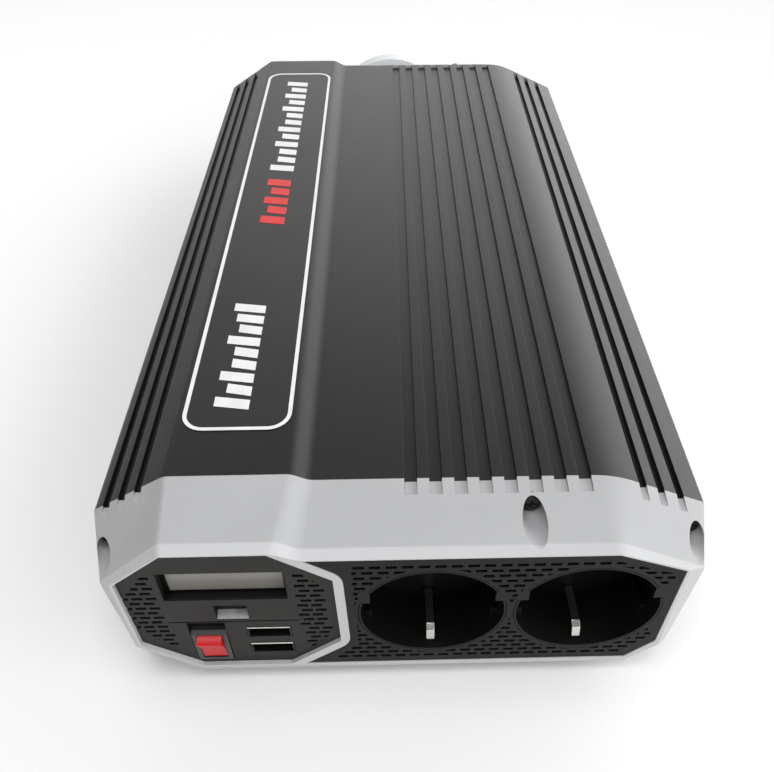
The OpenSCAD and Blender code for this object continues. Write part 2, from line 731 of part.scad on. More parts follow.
module fan_rotor() {
    y0 = fan_y0 + 3.5;
    y1 = fan_y1 - 1;
    color([0.09, 0.09, 0.09]) {
        difference() {
            rod_y(0, y0, y1, fan_z, hub_r);
            rod_y(0, y0 - 1, y1 - 1.6, fan_z, hub_r - 1.6);
        }
        rod_y(0, fan_y0 + 0.5, y1 - 1, fan_z, 1.5);
        intersection() {
            translate([0, (y0 + y1) / 2, fan_z]) for (i = [0:6]) rotate([0, i * 360 / 7, 0])
                rotate([34, 0, 0]) translate([hub_r - 0.8, -0.7, -9]) cube([rotor_r, 1.4, 18]);
            difference() {
                rod_y(0, y0 + 0.2, y1 - 0.2, fan_z, rotor_r);
                rod_y(0, y0 - 1, y1 + 1, fan_z, hub_r - 0.8);
            }
        }
    }
}

module at_fan_corners() {
    for (x = [-fan_pitch / 2, fan_pitch / 2]) for (z = [-fan_pitch / 2, fan_pitch / 2])
        translate([x, 0, fan_z + z]) children();
}

module fan_guard() {
    bars_y = rear_face_y + cowl_t - 2.4;
    color([0.76, 0.77, 0.78]) {
        difference() {
            rod_y(0, rear_face_y, rear_face_y + cowl_t, fan_z, cowl_r);
            rod_y(0, rear_face_y - 1, rear_face_y + cowl_t + 1, fan_z, rotor_r + 1.6);
            at_fan_corners() {
                rod_y(0, rear_face_y - 1, rear_face_y + cowl_t + 1, 0, screw_r + gap);
                rod_y(0, rear_face_y + 4, rear_face_y + cowl_t + 1, 0, 2.6);
            }
        }
        for (r = [7, 13, 19]) difference() {
            rod_y(0, bars_y, bars_y + 1.8, fan_z, r + 0.9);
            rod_y(0, bars_y - 1, bars_y + 3, fan_z, r - 0.9);
        }
        translate([0, 0, fan_z]) for (a = [45:90:315]) rotate([0, a, 0])
            block([6.5, bars_y, -1.2], [rotor_r + 3, bars_y + 1.8, 1.2]);
    }
}

module fan_screws() {
    color([0.75, 0.75, 0.75]) at_fan_corners()
        screw_y(0, 0, rear_face_y + 6, 24, -1, screw_r - 0.2, 2.4);
}

module terminal_base(side) {
    x = side * terminal_x;
    difference() {
        union() {
            block([x - 14, rear_face_y + fit_gap, terminal_z - 14],
                [x + 14, rear_face_y + base_t, terminal_z + 14]);
            rod_y(x, rear_face_y - 5, rear_face_y + 1, terminal_z, stud_r + 2.8);
            for (a = [-1, 1]) block([x + a * 13 - 1, rear_face_y + 1, terminal_z - 14],
                [x + a * 13 + 1, rear_face_y + base_t + 8, terminal_z + 14]);
        }
        rod_y(x, rear_face_y - 6, rear_face_y + base_t + 1, terminal_z, stud_r + gap);
    }
}

module positive_base() {
    color([0.75, 0.06, 0.06]) terminal_base(1);
}

module negative_base() {
    color([0.05, 0.05, 0.05]) terminal_base(-1);
}

// A threaded stud along Y: a neck divides the nut's stretch from the free end
module stud(x, z, r, y0, neck_y, y1, inner_nut_y) {
    rod_y(x, y0, neck_y, z, r);
    rod_y(x, neck_y - 0.1, neck_y + 0.7, z, r - 0.5);
    rod_y(x, neck_y + 0.6, y1 - 0.8, z, r);
    translate([x, y1, z]) rotate([90, 0, 0]) cylinder(h = 0.8, r1 = r - 0.8, r2 = r);
    translate([x, inner_nut_y, z]) rotate([90, 0, 0]) cylinder(h = r * 1.1, r = r * 1.9, $fn = 6);
}

module battery_studs() {
    nut_top = rear_face_y + base_t + washer_t + nut_t + 3 * fit_gap;
    color([0.8, 0.68, 0.35]) for (side = [-1, 1])
        stud(side * terminal_x, terminal_z, stud_r, rear_face_y - 24, nut_top + 0.3, stud_end_y,
            rear_face_y - 10);
}

module washer(x, z, y0, r, t) {
    difference() {
        rod_y(x, y0, y0 + t, z, r * 2.1);
        rod_y(x, y0 - 1, y0 + t + 1, z, r + 0.1);
    }
}

module nut(x, z, y0, r, t) {
    difference() {
        union() {
            translate([x, y0 + t, z]) rotate([90, 0, 0]) cylinder(h = t, r = r * 1.88, $fn = 6);
            rod_y(x, y0, y0 + 1.2, z, r * 2.05);
        }
        rod_y(x, y0 - 1, y0 + t + 1, z, r + fit_gap);
    }
}

terminal_washer_y = rear_face_y + base_t + fit_gap;
terminal_nut_y = terminal_washer_y + washer_t + fit_gap;

module positive_washer() {
    color([0.82, 0.82, 0.8]) washer(terminal_x, terminal_z, terminal_washer_y, stud_r, washer_t);
}

module negative_washer() {
    color([0.82, 0.82, 0.8]) washer(-terminal_x, terminal_z, terminal_washer_y, stud_r, washer_t);
}

module positive_nut() {
    color([0.85, 0.85, 0.82]) nut(terminal_x, terminal_z, terminal_nut_y, stud_r, nut_t);
}

module negative_nut() {
    color([0.85, 0.85, 0.82]) nut(-terminal_x, terminal_z, terminal_nut_y, stud_r, nut_t);
}

module ground_stud() {
    nut_top = rear_face_y + ground_washer_t + ground_nut_t + 2 * fit_gap;
    color([0.8, 0.68, 0.35])
        stud(ground_x, ground_z, ground_r, rear_face_y - 8, nut_top + 0.3, rear_face_y + 18,
            rear_face_y - cap_wall - fit_gap);
}

module ground_washer() {
    color([0.82, 0.82, 0.8])
        washer(ground_x, ground_z, rear_face_y + fit_gap, ground_r, ground_washer_t);
}

module ground_nut() {
    color([0.8, 0.68, 0.35])
        nut(ground_x, ground_z, rear_face_y + ground_washer_t + 2 * fit_gap, ground_r, ground_nut_t);
}

standoff_x = 56;
standoff_ys = [board_y0 + 12, (board_y0 + board_y1) / 2, board_y1 - 12];

module at_standoffs() {
    for (x = [-standoff_x, standoff_x]) for (y = standoff_ys) translate([x, y, 0]) children();
}

module main_board() {
    color([0.05, 0.32, 0.13]) difference() {
        block([-board_w / 2, board_y0, board_z], [board_w / 2, board_y1, board_top]);
        at_standoffs() translate([0, 0, board_z - 1]) cylinder(h = 4, r = screw_r);
    }
}

module board_standoffs() {
    color([0.8, 0.68, 0.35]) at_standoffs() difference() {
        translate([0, 0, foot_h + wall]) cylinder(h = board_z - foot_h - wall, r = 3.2, $fn = 6);
        translate([0, 0, foot_h + wall + 0.5]) cylinder(h = 8, r = screw_r - 0.2);
    }
}

module board_screws() {
    color([0.75, 0.75, 0.75]) at_standoffs() {
        translate([0, 0, board_top]) cylinder(h = 1.8, r = 2.9);
        translate([0, 0, board_z - 4]) cylinder(h = 6, r = screw_r - 0.3);
    }
}

transformer_ys = [38, -4];

module at_transformers() {
    for (x = [-28, 28]) for (y = transformer_ys) translate([x, y, board_top]) children();
}

module transformer_cores() {
    color([0.12, 0.12, 0.13]) at_transformers() difference() {
        block([-24, -9, 0], [24, 9, 42]);
        for (side = [-1, 1]) block([side * 13.5 - 5, -10, 8], [side * 13.5 + 5, 10, 34]);
    }
}

module transformer_windings() {
    color([0.75, 0.6, 0.2]) at_transformers() difference() {
        translate([0, 0, 8.5]) cylinder(h = 25, r = 18);
        block([-8.7, -9.2, 0], [8.7, 9.2, 42]);
        for (side = [-1, 1]) block([side * 20.5 - 2.2, -10, 0], [side * 20.5 + 2.2, 10, 42]);
    }
}

module capacitor(x, y, r, h) {
    translate([x, y, board_top]) difference() {
        cylinder(h = h, r = r);
        translate([0, 0, h - 0.6]) cylinder(h = 1, r = r - 1);
        translate([0, 0, 2.4]) rotate_extrude() translate([r, 0]) circle(r = 0.5, $fn = 16);
    }
}

module input_capacitors() {
    color([0.1, 0.12, 0.3]) for (side = [-1, 1]) for (i = [0:2])
        capacitor(side * (14 + i * 15), 76, 6.3, 26);
}

module bus_capacitors() {
    color([0.08, 0.08, 0.08]) for (x = [-32, 0, 32]) capacitor(x, -48, 12.5, 40);
}

transistor_ys = [for (i = [0:7]) -84 + i * 20];

module power_transistors() {
    color([0.08, 0.08, 0.08]) for (side = [-1, 1]) for (y = transistor_ys) {
        block([side * 77.2 - 2.2, y - 5, 26], [side * 77.2 + 2.2, y + 5, 41]);
        for (leg = [-2.5, 0, 2.5]) {
            block([side * 76 - 0.3, y + leg - 0.4, 14], [side * 76 + 0.3, y + leg + 0.4, 26]);
            block([side * 72 - 4.3, y + leg - 0.4, 14], [side * 72 + 4.3, y + leg + 0.4, 14.6]);
            block([side * 68 - 0.3, y + leg - 0.4, board_top], [side * 68 + 0.3, y + leg + 0.4, 14.6]);
        }
    }
}

module transistor_clamps() {
    length = transistor_ys[7] - transistor_ys[0] + 16;
    color([0.7, 0.7, 0.72]) for (side = [-1, 1])
        block([side * 74.2 - 0.7, transistor_ys[0] - 8, 30],
            [side * 74.2 + 0.7, transistor_ys[0] - 8 + length, 37]);
}

module output_choke() {
    color([0.72, 0.42, 0.15]) translate([36, -88, board_top + 11]) rotate_extrude() translate([13, 0])
        circle(r = 7.5);
}

module choke_base() {
    color([0.1, 0.1, 0.1]) difference() {
        translate([36, -88, board_top]) cylinder(h = 4.5, r = 22);
        translate([36, -88, board_top + 11]) rotate_extrude() translate([13, 0]) circle(r = 7.6);
    }
}

module blade_fuses() {
    color([0.95, 0.45, 0.1]) for (x = [-26, -9, 9, 26]) {
        block([x - 6, 93, board_top + 6], [x + 6, 97.5, board_top + 18]);
        for (side = [-1, 1])
            block([x + side * 4 - 1.8, 95, board_top], [x + side * 4 + 1.8, 95.7, board_top + 6]);
    }
}

module busbars() {
    y = rear_face_y - 16.6;
    color([0.8, 0.45, 0.25]) for (side = [-1, 1]) difference() {
        union() {
            block([side * terminal_x - 8, y, board_top], [side * terminal_x + 8, y + 2, terminal_z + 9]);
            block([side * terminal_x - 8, board_y1 - 8, board_top],
                [side * terminal_x + 8, y + 1, board_top + 2]);
        }
        rod_y(side * terminal_x, y - 1, y + 3, terminal_z, stud_r + gap);
    }
}

module output_leads() {
    y0 = socket_face_y + socket_depth + 3 + gap + 8;
    color([0.5, 0.25, 0.1]) for (x = [socket_left_x, socket_right_x]) for (side = [-1, 1]) {
        px = x + side * pin_pitch / 2;
        translate([px, y0 + 1.3, board_top + 1.5]) {
            cylinder(h = socket_z - 6 - board_top - 1.5, r = 1.2);
            sphere(r = 1.2);
        }
        rod_y(px, y0 + 1.3, board_y0 + 4, board_top + 1.5, 1.2);
    }
}

module rubber_feet() {
    color([0.05, 0.05, 0.05]) for (x = [-46, 46]) for (y = [seam_front_y + 24, seam_rear_y - 24])
        translate([x, y, 0]) cylinder(h = foot_h, r = 8);
}

top_housing();
bottom_housing();
front_cap();
rear_cap();
label_plate();
control_panel();
socket_panel();
lcd_window();
lcd_module();
status_light_pipe();
switch_bezel();
power_rocker();
switch_terminals();
usb_shells();
usb_tongues();
usb_board();
left_socket_insert();
right_socket_insert();
earth_clips();
pin_contacts();
front_cap_screws();
rear_cap_screws();
fan_frame();
fan_rotor();
fan_stator();
fan_guard();
fan_screws();
positive_base();
negative_base();
battery_studs();
positive_washer();
negative_washer();
positive_nut();
negative_nut();
ground_stud();
ground_washer();
ground_nut();
main_board();
board_standoffs();
board_screws();
control_board();
transformer_cores();
transformer_windings();
input_capacitors();
bus_capacitors();
power_transistors();
transistor_clamps();
output_choke();
choke_base();
blade_fuses();
busbars();
output_leads();
rubber_feet();
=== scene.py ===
"""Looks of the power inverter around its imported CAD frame. Metres, +Z up, the control side faces -Y."""

import math

import bmesh
import bpy
from mathutils import Matrix, Vector


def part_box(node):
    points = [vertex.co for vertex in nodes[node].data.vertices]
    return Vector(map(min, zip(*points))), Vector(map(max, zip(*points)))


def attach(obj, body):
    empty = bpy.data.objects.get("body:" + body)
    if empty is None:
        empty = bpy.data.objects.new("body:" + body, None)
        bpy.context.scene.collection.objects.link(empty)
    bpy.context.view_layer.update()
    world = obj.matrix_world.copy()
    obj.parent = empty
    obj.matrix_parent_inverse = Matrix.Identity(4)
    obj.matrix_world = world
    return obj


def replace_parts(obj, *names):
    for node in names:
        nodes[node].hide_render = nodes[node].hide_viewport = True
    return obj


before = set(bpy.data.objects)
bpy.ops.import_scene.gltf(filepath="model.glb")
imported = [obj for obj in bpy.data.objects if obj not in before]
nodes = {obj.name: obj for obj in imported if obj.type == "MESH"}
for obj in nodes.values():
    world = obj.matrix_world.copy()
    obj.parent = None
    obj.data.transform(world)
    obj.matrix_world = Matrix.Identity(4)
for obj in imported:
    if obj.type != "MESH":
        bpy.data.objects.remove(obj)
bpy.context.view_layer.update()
MM = 0.001


def box_mm(name):
    """A CAD node's lowest and highest corners at rest, in millimetres."""
    low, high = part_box(name)
    return low / MM, high / MM


# ---------------------------------------------------------------- camera
CAMERA_AT_MM = Vector((-2.06, -281.13, 225.91))
CAMERA_YAW = 1.356  # degrees to the right of +Y
CAMERA_PITCH = 43.95  # degrees below the horizon
CAMERA_ROLL = 0.017  # degrees from level
CAMERA_LENS_MM = 36.0
CAMERA_SHIFT = (-0.0244, 0.0043)


def add_camera():
    """A wide lens close above the control side, looking down the length of the housing."""
    yaw, pitch, roll = (math.radians(a) for a in (CAMERA_YAW, CAMERA_PITCH, CAMERA_ROLL))
    data = bpy.data.cameras.new("camera")
    data.lens = CAMERA_LENS_MM
    data.sensor_width = 36.0
    data.shift_x, data.shift_y = CAMERA_SHIFT
    data.clip_start = 0.01
    data.clip_end = 50.0
    camera = bpy.data.objects.new("camera", data)
    bpy.context.scene.collection.objects.link(camera)
    forward = Vector((math.sin(yaw) * math.cos(pitch), math.cos(yaw) * math.cos(pitch), -math.sin(pitch)))
    level = Vector((math.cos(yaw), -math.sin(yaw), 0))
    upright = level.cross(forward)
    right = level * math.cos(roll) + upright * math.sin(roll)
    up = upright * math.cos(roll) - level * math.sin(roll)
    turn = Matrix((right, up, -forward)).transposed()
    camera.matrix_world = Matrix.Translation(CAMERA_AT_MM * MM) @ turn.to_4x4()
    bpy.context.scene.camera = camera


add_camera()


# ---------------------------------------------------------------- materials
class Nodes:
    """Short names for the node calls that the materials share."""

    def __init__(self, name):
        self.material = bpy.data.materials.new(name)
        self.material.use_nodes = True
        self.tree = self.material.node_tree
        self.shader = self.tree.nodes["Principled BSDF"]
        self.place = self.tree.nodes.new("ShaderNodeTexCoord").outputs["Object"]

    def link(self, out, into):
        self.tree.links.new(out, into)

    def noise(self, size_mm, detail, stretch=(1, 1, 1)):
        """Noise whose patches are about size_mm across, longer along the stretched axes."""
        mapping = self.tree.nodes.new("ShaderNodeMapping")
        mapping.inputs["Scale"].default_value = [1 / (size_mm * MM * s) for s in stretch]
        self.link(self.place, mapping.inputs["Vector"])
        noise = self.tree.nodes.new("ShaderNodeTexNoise")
        noise.inputs["Scale"].default_value = 1.0
        noise.inputs["Detail"].default_value = detail
        self.link(mapping.outputs["Vector"], noise.inputs["Vector"])
        return noise.outputs["Fac"]

    def place_along_y(self):
        """The surface's place along the housing, in metres."""
        split = self.tree.nodes.new("ShaderNodeSeparateXYZ")
        self.link(self.place, split.inputs["Vector"])
        return split.outputs["Y"]

    def ramp(self, value, low, high, out_low=0.0, out_high=1.0):
        """A value from low to high, brought to out_low to out_high."""
        node = self.tree.nodes.new("ShaderNodeMapRange")
        node.inputs["From Min"].default_value = low
        node.inputs["From Max"].default_value = high
        node.inputs["To Min"].default_value = out_low
        node.inputs["To Max"].default_value = out_high
        self.link(value, node.inputs["Value"])
        return node.outputs["Result"]

    def mix(self, factor, first, second):
        """Colours mixed by factor; each is a colour or another node's output."""
        node = self.tree.nodes.new("ShaderNodeMix")
        node.data_type = "RGBA"
        self.link(factor, node.inputs["Factor"])
        for socket, value in ((node.inputs[6], first), (node.inputs[7], second)):
            if isinstance(value, bpy.types.NodeSocket):
                self.link(value, socket)
            else:
                socket.default_value = (*value, 1)
        return node.outputs[2]

    def bump(self, height, depth_mm):
        """Relief of depth_mm from a height between 0 and 1."""
        node = self.tree.nodes.new("ShaderNodeBump")
        node.inputs["Distance"].default_value = depth_mm * MM
        self.link(height, node.inputs["Height"])
        self.link(node.outputs["Normal"], self.shader.inputs["Normal"])


NOISE_RANGE = (0.3, 0.7)  # what most of a noise's values lie between
SLOT_SHADE_MM = (0.2, 1.0)  # depths over which painted shade turns a slot's walls black
# colour of the painted shade in slots and recesses
SLOT_PAINTED_SHADE = (0.001, 0.001, 0.001)
HIGHLIGHT_BLEND_MM = 0.25  # half the width over which the painted highlight fades in
HIGHLIGHT_GAIN = 1.2  # how much paler the painted highlight is
SPECK_MM = 1.1  # size of the dust specks
SPECK_RANGE = (0.80, 0.82)  # noise values at which a speck shows


def surface(name, dark, light, rough, patch_mm=30, grain_mm=0.4, grain_depth=0.01, stretch=(1, 1, 1),
            specks=None, rough_spread=0.05, shade_y_mm=None, highlight_y_mm=None, **sockets):
    """A finish with colour patches from dark to light, a fine grain in bump and roughness, and dust specks.
    With shade_y_mm it turns black just behind that plane, painted shade as deep slots would show. With a
    highlight plane it is paler in front of that plane, a painted highlight along an edge where the light
    falls."""
    n = Nodes(name)
    patches = n.ramp(n.noise(patch_mm, 4.0, stretch), *NOISE_RANGE)
    colour = n.mix(patches, dark, light)
    # painted shade: black just behind the plane, as deep slots would show
    if shade_y_mm is not None:
        start, end = ((shade_y_mm + depth) * MM for depth in SLOT_SHADE_MM)
        colour = n.mix(n.ramp(n.place_along_y(), start, end), colour, SLOT_PAINTED_SHADE)
    # painted highlight: paler in front of the plane, where light falls on an edge
    if highlight_y_mm is not None:
        start, end = (highlight_y_mm - HIGHLIGHT_BLEND_MM) * MM, (highlight_y_mm + HIGHLIGHT_BLEND_MM) * MM
        colour = n.mix(n.ramp(n.place_along_y(), start, end), [HIGHLIGHT_GAIN * c for c in light], colour)
    if specks:
        colour = n.mix(n.ramp(n.noise(SPECK_MM, 1.0), *SPECK_RANGE), colour, specks)
    n.link(colour, n.shader.inputs["Base Color"])
    grain = n.noise(grain_mm, 3.0, stretch)
    roughness = n.ramp(grain, *NOISE_RANGE, rough - rough_spread, rough + rough_spread)
    n.link(roughness, n.shader.inputs["Roughness"])
    n.bump(grain, grain_depth)
    for socket, value in sockets.items():
        n.shader.inputs[socket.replace("_", " ")].default_value = value
    return n.material


FRONT_Y_MM = box_mm("front_cap")[0].y
PANEL_Y_MM = box_mm("control_panel")[0].y
SOCKET_Y_MM = box_mm("socket_panel")[0].y
FRONT_HIGHLIGHT_MM = 3.0  # depth of the painted highlight along the front cap's edge

FINISHES = {
    "black_aluminium": surface("black_aluminium", (0.011, 0.011, 0.0115), (0.015, 0.015, 0.0155), 0.33,
                               grain_mm=0.25, grain_depth=0.004, stretch=(1, 30, 1),
                               specks=(0.12, 0.12, 0.11), IOR=1.42),
    "light_grey_plastic": surface("light_grey_plastic", (0.36, 0.363, 0.37), (0.39, 0.393, 0.40), 0.5,
                                  grain_mm=0.35, grain_depth=0.012, specks=(0.3, 0.29, 0.27),
                                  # painted highlight along the front cap's front edge
                                  highlight_y_mm=FRONT_Y_MM + FRONT_HIGHLIGHT_MM),
    "rear_plastic": surface("rear_plastic", (0.42, 0.425, 0.43), (0.45, 0.455, 0.46), 0.5,
                            grain_mm=0.35, grain_depth=0.012),
    # the panels get painted shade behind their face, in slots and recesses
    "panel_plastic": surface("panel_plastic", (0.0108, 0.0099, 0.0085), (0.0135, 0.0124, 0.0108), 0.55,
                             grain_mm=0.3, grain_depth=0.012, shade_y_mm=PANEL_Y_MM,
                             Specular_IOR_Level=0.28),
    "socket_panel": surface("socket_panel", (0.005, 0.0049, 0.0046), (0.007, 0.0068, 0.0064), 0.55,
                            grain_mm=0.3, grain_depth=0.012, shade_y_mm=SOCKET_Y_MM,
                            Specular_IOR_Level=0.2),
    "black_plastic": surface("black_plastic", (0.003, 0.003, 0.003), (0.005, 0.005, 0.0045), 0.45,
                             grain_mm=0.5, grain_depth=0.004, Specular_IOR_Level=0.15),
    "label_film": surface("label_film", (0.008, 0.0085, 0.0085), (0.011, 0.0115, 0.0115), 0.40,
                          grain_mm=0.2, grain_depth=0.004),
    "white_ink": surface("white_ink", (0.66, 0.66, 0.66), (0.74, 0.74, 0.74), 0.45, patch_mm=6,
                         grain_mm=0.2, grain_depth=0.003),
    "red_ink": surface("red_ink", (0.55, 0.02, 0.02), (0.62, 0.03, 0.03), 0.45, patch_mm=6,
                       grain_mm=0.2, grain_depth=0.003),
    "display_window": surface("display_window", (0.19, 0.18, 0.165), (0.22, 0.21, 0.19), 0.2,
                              grain_mm=2, grain_depth=0.002),
    "display_glass": surface("display_glass", (0.24, 0.24, 0.21), (0.27, 0.27, 0.24), 0.3),
    "light_pipe": surface("light_pipe", (0.20, 0.205, 0.21), (0.30, 0.305, 0.31), 0.35, patch_mm=2.5),
    "bezel_plastic": surface("bezel_plastic", (0.026, 0.025, 0.024), (0.032, 0.031, 0.030), 0.4,
                             grain_mm=0.3, grain_depth=0.006),
    "rocker_red": surface("rocker_red", (0.50, 0.006, 0.008), (0.56, 0.009, 0.010), 0.34,
                          grain_mm=0.6, grain_depth=0.003, Specular_IOR_Level=0.35),
    "nickel_steel": surface("nickel_steel", (0.50, 0.49, 0.46), (0.62, 0.60, 0.57), 0.24,
                            grain_mm=1.2, grain_depth=0.002, rough_spread=0.03, Metallic=1.0),
    "dark_nickel": surface("dark_nickel", (0.025, 0.025, 0.025), (0.04, 0.04, 0.039), 0.35,
                           grain_mm=1.2, grain_depth=0.002, Metallic=1.0),
    "cowl_plastic": surface("cowl_plastic", (0.66, 0.67, 0.68), (0.70, 0.71, 0.72), 0.5,
                            grain_mm=0.35, grain_depth=0.012),
    "zinc_steel": surface("zinc_steel", (0.55, 0.56, 0.56), (0.66, 0.67, 0.68), 0.32,
                          grain_mm=0.4, grain_depth=0.006, Metallic=1.0),
    "black_steel": surface("black_steel", (0.03, 0.03, 0.032), (0.05, 0.05, 0.052), 0.38,
                           grain_mm=0.3, grain_depth=0.005, Metallic=0.6),
    "brass": surface("brass", (0.60, 0.44, 0.18), (0.70, 0.53, 0.24), 0.28,
                     grain_mm=0.4, grain_depth=0.005, Metallic=1.0),
    "copper": surface("copper", (0.62, 0.30, 0.18), (0.72, 0.38, 0.24), 0.32,
                      grain_mm=0.4, grain_depth=0.005, Metallic=1.0),
    "fan_plastic": surface("fan_plastic", (0.012, 0.012, 0.013), (0.017, 0.017, 0.018), 0.4,
                           grain_mm=0.4, grain_depth=0.006),
    "red_plastic": surface("red_plastic", (0.42, 0.012, 0.012), (0.48, 0.018, 0.016), 0.38,
                           grain_mm=0.4, grain_depth=0.008),
    "circuit_board": surface("circuit_board", (0.01, 0.09, 0.03), (0.015, 0.12, 0.04), 0.4, patch_mm=4),
    "ferrite": surface("ferrite", (0.02, 0.02, 0.022), (0.03, 0.03, 0.032), 0.6),
    "winding_tape": surface("winding_tape", (0.5, 0.38, 0.06), (0.58, 0.44, 0.08), 0.35, patch_mm=8),
    "capacitor_sleeve": surface("capacitor_sleeve", (0.01, 0.02, 0.1), (0.015, 0.03, 0.14), 0.3,
                                patch_mm=8),
    "enamelled_copper": surface("enamelled_copper", (0.42, 0.16, 0.05), (0.5, 0.2, 0.07), 0.28,
                                patch_mm=3, Metallic=0.8),
    "fuse_plastic": surface("fuse_plastic", (0.7, 0.2, 0.02), (0.78, 0.25, 0.03), 0.25, patch_mm=6),
    "lead_insulation": surface("lead_insulation", (0.16, 0.06, 0.02), (0.2, 0.08, 0.03), 0.4, patch_mm=6),
    "rubber": surface("rubber", (0.012, 0.012, 0.012), (0.018, 0.018, 0.018), 0.75,
                      grain_mm=0.5, grain_depth=0.02),
}

# Nodes whose finish differs from the others in their material slot
OWN_FINISH = {"socket_panel": "socket_panel", "usb_shells": "dark_nickel", "fan_guard": "cowl_plastic"}
for node_name, node in nodes.items():
    for index, old in enumerate(node.data.materials):
        node.data.materials[index] = FINISHES[OWN_FINISH.get(node_name, old.name)]


# ---------------------------------------------------------------- edges and shading of the CAD nodes
def smooth_group(angle):
    """Geometry nodes that shade smooth, but leave the edges sharper than angle sharp."""
    group = bpy.data.node_groups.new("smooth_by_angle", "GeometryNodeTree")
    group.interface.new_socket("Geometry", in_out="INPUT", socket_type="NodeSocketGeometry")
    group.interface.new_socket("Geometry", in_out="OUTPUT", socket_type="NodeSocketGeometry")
    start = group.nodes.new("NodeGroupInput")
    end = group.nodes.new("NodeGroupOutput")
    faces = group.nodes.new("GeometryNodeSetShadeSmooth")
    edges = group.nodes.new("GeometryNodeSetShadeSmooth")
    edges.domain = "EDGE"
    edges.inputs["Shade Smooth"].default_value = False
    edge_angle = group.nodes.new("GeometryNodeInputMeshEdgeAngle")
    sharper = group.nodes.new("FunctionNodeCompare")
    sharper.operation = "GREATER_THAN"
    sharper.inputs[1].default_value = math.radians(angle)
    group.links.new(edge_angle.outputs["Unsigned Angle"], sharper.inputs[0])
    group.links.new(start.outputs["Geometry"], faces.inputs["Geometry"])
    group.links.new(faces.outputs["Geometry"], edges.inputs["Geometry"])
    group.links.new(sharper.outputs["Result"], edges.inputs["Selection"])
    group.links.new(edges.outputs["Geometry"], end.inputs["Geometry"])
    return group


SMOOTH_ANGLE = 32  # degrees up to which neighbouring faces are shaded as one curve
SMOOTH = smooth_group(SMOOTH_ANGLE)
WELD_MM = 0.002  # corners closer than this are joined
FLAT_ANGLE = 0.5  # degrees up to which neighbouring faces become one
BEVEL_ANGLE = 25  # degrees above which an edge is softened


def add_weld(node, name):
    weld = node.modifiers.new(name, "WELD")
    weld.merge_threshold = WELD_MM * MM


def soften(node, width_mm):
    """Rounds a mesh's sharp edges by width_mm, as moulding and machining leave them."""
    flat = node.modifiers.new("flat", "DECIMATE")
    flat.decimate_type = "DISSOLVE"
    flat.angle_limit = math.radians(FLAT_ANGLE)
    bevel = node.modifiers.new("bevel", "BEVEL")
    bevel.limit_method = "ANGLE"
    bevel.angle_limit = math.radians(BEVEL_ANGLE)
    bevel.width = width_mm * MM
    bevel.segments = 2
    bevel.miter_outer = "MITER_ARC"
    add_weld(node, "clean")


def shade(node, width_mm=0):
    """Joins a CAD mesh's faces, softens its edges if width_mm is given, and shades its curves smooth."""
    add_weld(node, "weld")
    if width_mm:
        soften(node, width_mm)
    smooth = node.modifiers.new("smooth", "NODES")
    smooth.node_group = SMOOTH
    normals = node.modifiers.new("normals", "WEIGHTED_NORMAL")
    normals.keep_sharp = True
    normals.weight = 60


SOFT_EDGES_MM = {
    "top_housing": 0.25, "bottom_housing": 0.3, "rear_cap": 0.35, "lcd_window": 0.1,
    "switch_bezel": 0.2, "power_rocker": 0.3, "usb_shells": 0.08, "earth_clips": 0.12,
    "left_socket_insert": 0.2, "right_socket_insert": 0.2, "front_cap_screws": 0.15,
    "rear_cap_screws": 0.15, "fan_screws": 0.15, "positive_base": 0.5, "negative_base": 0.5,
    "positive_washer": 0.15, "negative_washer": 0.15, "positive_nut": 0.35, "negative_nut": 0.35,
    "ground_washer": 0.12, "ground_nut": 0.3}
# Nodes that are only shaded smooth: a bevel has no room on their short edges, or they are out of sight
SMOOTH_NODES = ("bus_capacitors", "input_capacitors", "output_choke", "transformer_windings", "fan_frame",
                "fan_guard", "front_cap")
for soft_name, edge_mm in SOFT_EDGES_MM.items():
    shade(nodes[soft_name], edge_mm)
for smooth_name in SMOOTH_NODES:
    shade(nodes[smooth_name])


# ---------------------------------------------------------------- pieces built as meshes
SHARP_ANGLE = 35  # degrees above which an edge of a new piece stays sharp


def piece(name, bm, finish, body="chassis"):
    """Turns a bmesh in millimetres into a shaded piece that rides on a body."""
    bmesh.ops.recalc_face_normals(bm, faces=bm.faces)
    bmesh.ops.scale(bm, vec=(MM, MM, MM), verts=bm.verts)
    for face in bm.faces:
        face.smooth = True
    mesh = bpy.data.meshes.new(name)
    bm.to_mesh(mesh)
    bm.free()
    mesh.set_sharp_from_angle(angle=math.radians(SHARP_ANGLE))
    mesh.materials.append(FINISHES[finish])
    made = bpy.data.objects.new(name, mesh)
    bpy.context.scene.collection.objects.link(made)
    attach(made, body)
    return made


PLACES = {"X": lambda u, v, w: (w, u, v), "Y": lambda u, v, w: (u, w, v), "Z": lambda u, v, w: (u, v, w)}


def join_rings(bm, first, second):
    """Quads between two rings of as many points."""
    count = len(first)
    for i in range(count):
        k = (i + 1) % count
        bm.faces.new((first[i], first[k], second[k], second[i]))


def prism(bm, outline, low, high, axis="Z", hole=None):
    """A closed prism of an outline, from low to high along an axis; hole has as many points as outline."""
    place = PLACES[axis]
    shapes = [outline, hole] if hole else [outline]
    rings = [[bm.verts.new(place(u, v, w)) for u, v in shape] for shape in shapes for w in (low, high)]
    if hole:
        outer_low, outer_high, inner_low, inner_high = rings
        join_rings(bm, outer_low, outer_high)
        join_rings(bm, outer_high, inner_high)
        join_rings(bm, inner_high, inner_low)
        join_rings(bm, inner_low, outer_low)
    else:
        bm.faces.new(rings[0])
        bm.faces.new(rings[1])
        join_rings(bm, rings[0], rings[1])


def rectangle(x0, y0, x1, y1, inset=0.0):
    """The corners of a rectangle, in order, moved inwards by inset."""
    return [(x0 + inset, y0 + inset), (x1 - inset, y0 + inset),
            (x1 - inset, y1 - inset), (x0 + inset, y1 - inset)]


def cuboid(bm, low, high):
    prism(bm, rectangle(low[0], low[1], high[0], high[1]), low[2], high[2])


